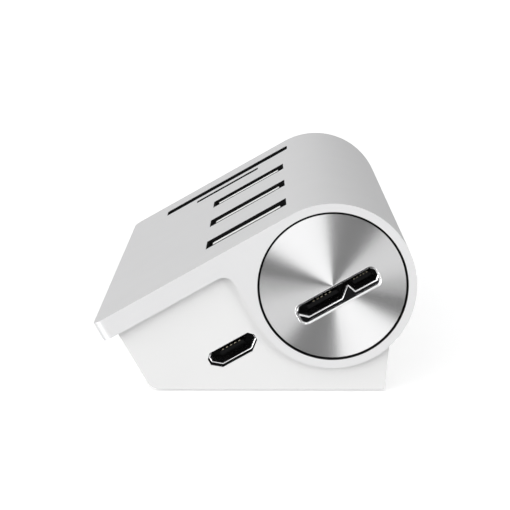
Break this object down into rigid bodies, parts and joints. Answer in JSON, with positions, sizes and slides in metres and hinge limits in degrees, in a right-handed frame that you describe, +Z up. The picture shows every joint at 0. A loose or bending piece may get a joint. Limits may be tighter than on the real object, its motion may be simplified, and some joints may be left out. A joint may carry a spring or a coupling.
{
  "type": "laptop docking station",
  "caption": "Compact desktop hub dock: sloping aluminium deck wrapping into a tube, USB-A sockets and card slots on top, a host port in the front disc, a power port in the white base.",
  "frame": {"origin": "centre of the footprint on the surface the feet stand on", "axes": "+X to the right, up the slope of the deck; +Y from the front disc with the host port to the back; +Z up"},
  "size_m": [0.0446, 0.077, 0.0268],
  "materials": {
    "shell_aluminium": "bead-blasted satin, clear anodised",
    "spun_aluminium": "spun, fine rings about the centre",
    "base_plastic": "moulded white, satin",
    "plug_plastic": "moulded black",
    "foot_rubber": "matt",
    "screw_steel": "nickel plated",
    "board_laminate": "green solder mask",
    "socket_steel": "nickel plated sheet",
    "tongue_white": "moulded white",
    "socket_black": "moulded black",
    "liner_black": "moulded black, matt",
    "contact_gold": "gold flash",
    "slider_ivory": "moulded ivory",
    "spring_steel": "drawn wire",
    "chip_epoxy": "moulded epoxy",
    "crystal_can": "pressed can",
    "capacitor_tan": "moulded resin",
    "inductor_ferrite": "ferrite"
  },
  "bodies": {
    "dock": {"metal_shell": "shell_aluminium", "base_housing": "base_plastic", "bottom_cover": "base_plastic", "front_disc": "spun_aluminium", "front_plug": "plug_plastic", "rear_disc": "spun_aluminium", "rear_plug": "plug_plastic", "foot_front_left": "foot_rubber", "foot_front_right": "foot_rubber", "foot_rear_left": "foot_rubber", "foot_rear_right": "foot_rubber", "cover_screws": "screw_steel", "plug_screws": "screw_steel", "shell_screws": "screw_steel", "board_screws": "screw_steel", "main_board": "board_laminate", "card_board": "board_laminate", "board_link_header": "socket_black", "usb_a_shell_1": "socket_steel", "usb_a_shell_2": "socket_steel", "usb_a_shell_3": "socket_steel", "usb_a_tongue_1": "tongue_white", "usb_a_tongue_2": "tongue_white", "usb_a_tongue_3": "tongue_white", "usb_a_contacts_1": "contact_gold", "usb_a_contacts_2": "contact_gold", "usb_a_contacts_3": "contact_gold", "usb_a_liner_1": "liner_black", "usb_a_liner_2": "liner_black", "usb_a_liner_3": "liner_black", "sd_liner": "liner_black", "microsd_liner": "liner_black", "host_port_shell": "socket_steel", "host_port_tongue": "socket_black", "host_port_contacts": "contact_gold", "power_port_shell": "socket_steel", "power_port_tongue": "socket_black", "power_port_contacts": "contact_gold", "power_port_liner": "liner_black", "sd_cover": "socket_steel", "sd_insulator": "socket_black", "sd_contacts": "contact_gold", "microsd_cover": "socket_steel", "microsd_insulator": "socket_black", "microsd_contacts": "contact_gold", "microsd_spring": "spring_steel", "hub_controller": "chip_epoxy", "card_controller": "chip_epoxy", "hub_crystal": "crystal_can", "card_crystal": "crystal_can", "bulk_capacitors": "capacitor_tan", "power_inductor": "inductor_ferrite"},
    "eject_slider": {"microsd_slider": "slider_ivory"}
  },
  "joints": [
    {"name": "microsd_eject", "type": "slide", "parent": "dock", "child": "eject_slider", "axis": [0.4924, 0, -0.8704], "range_m": [0, 0.004], "stiffness_N_per_m": 250, "springref_m": -0.0015, "deforming": ["microsd_spring"]}
  ]
}
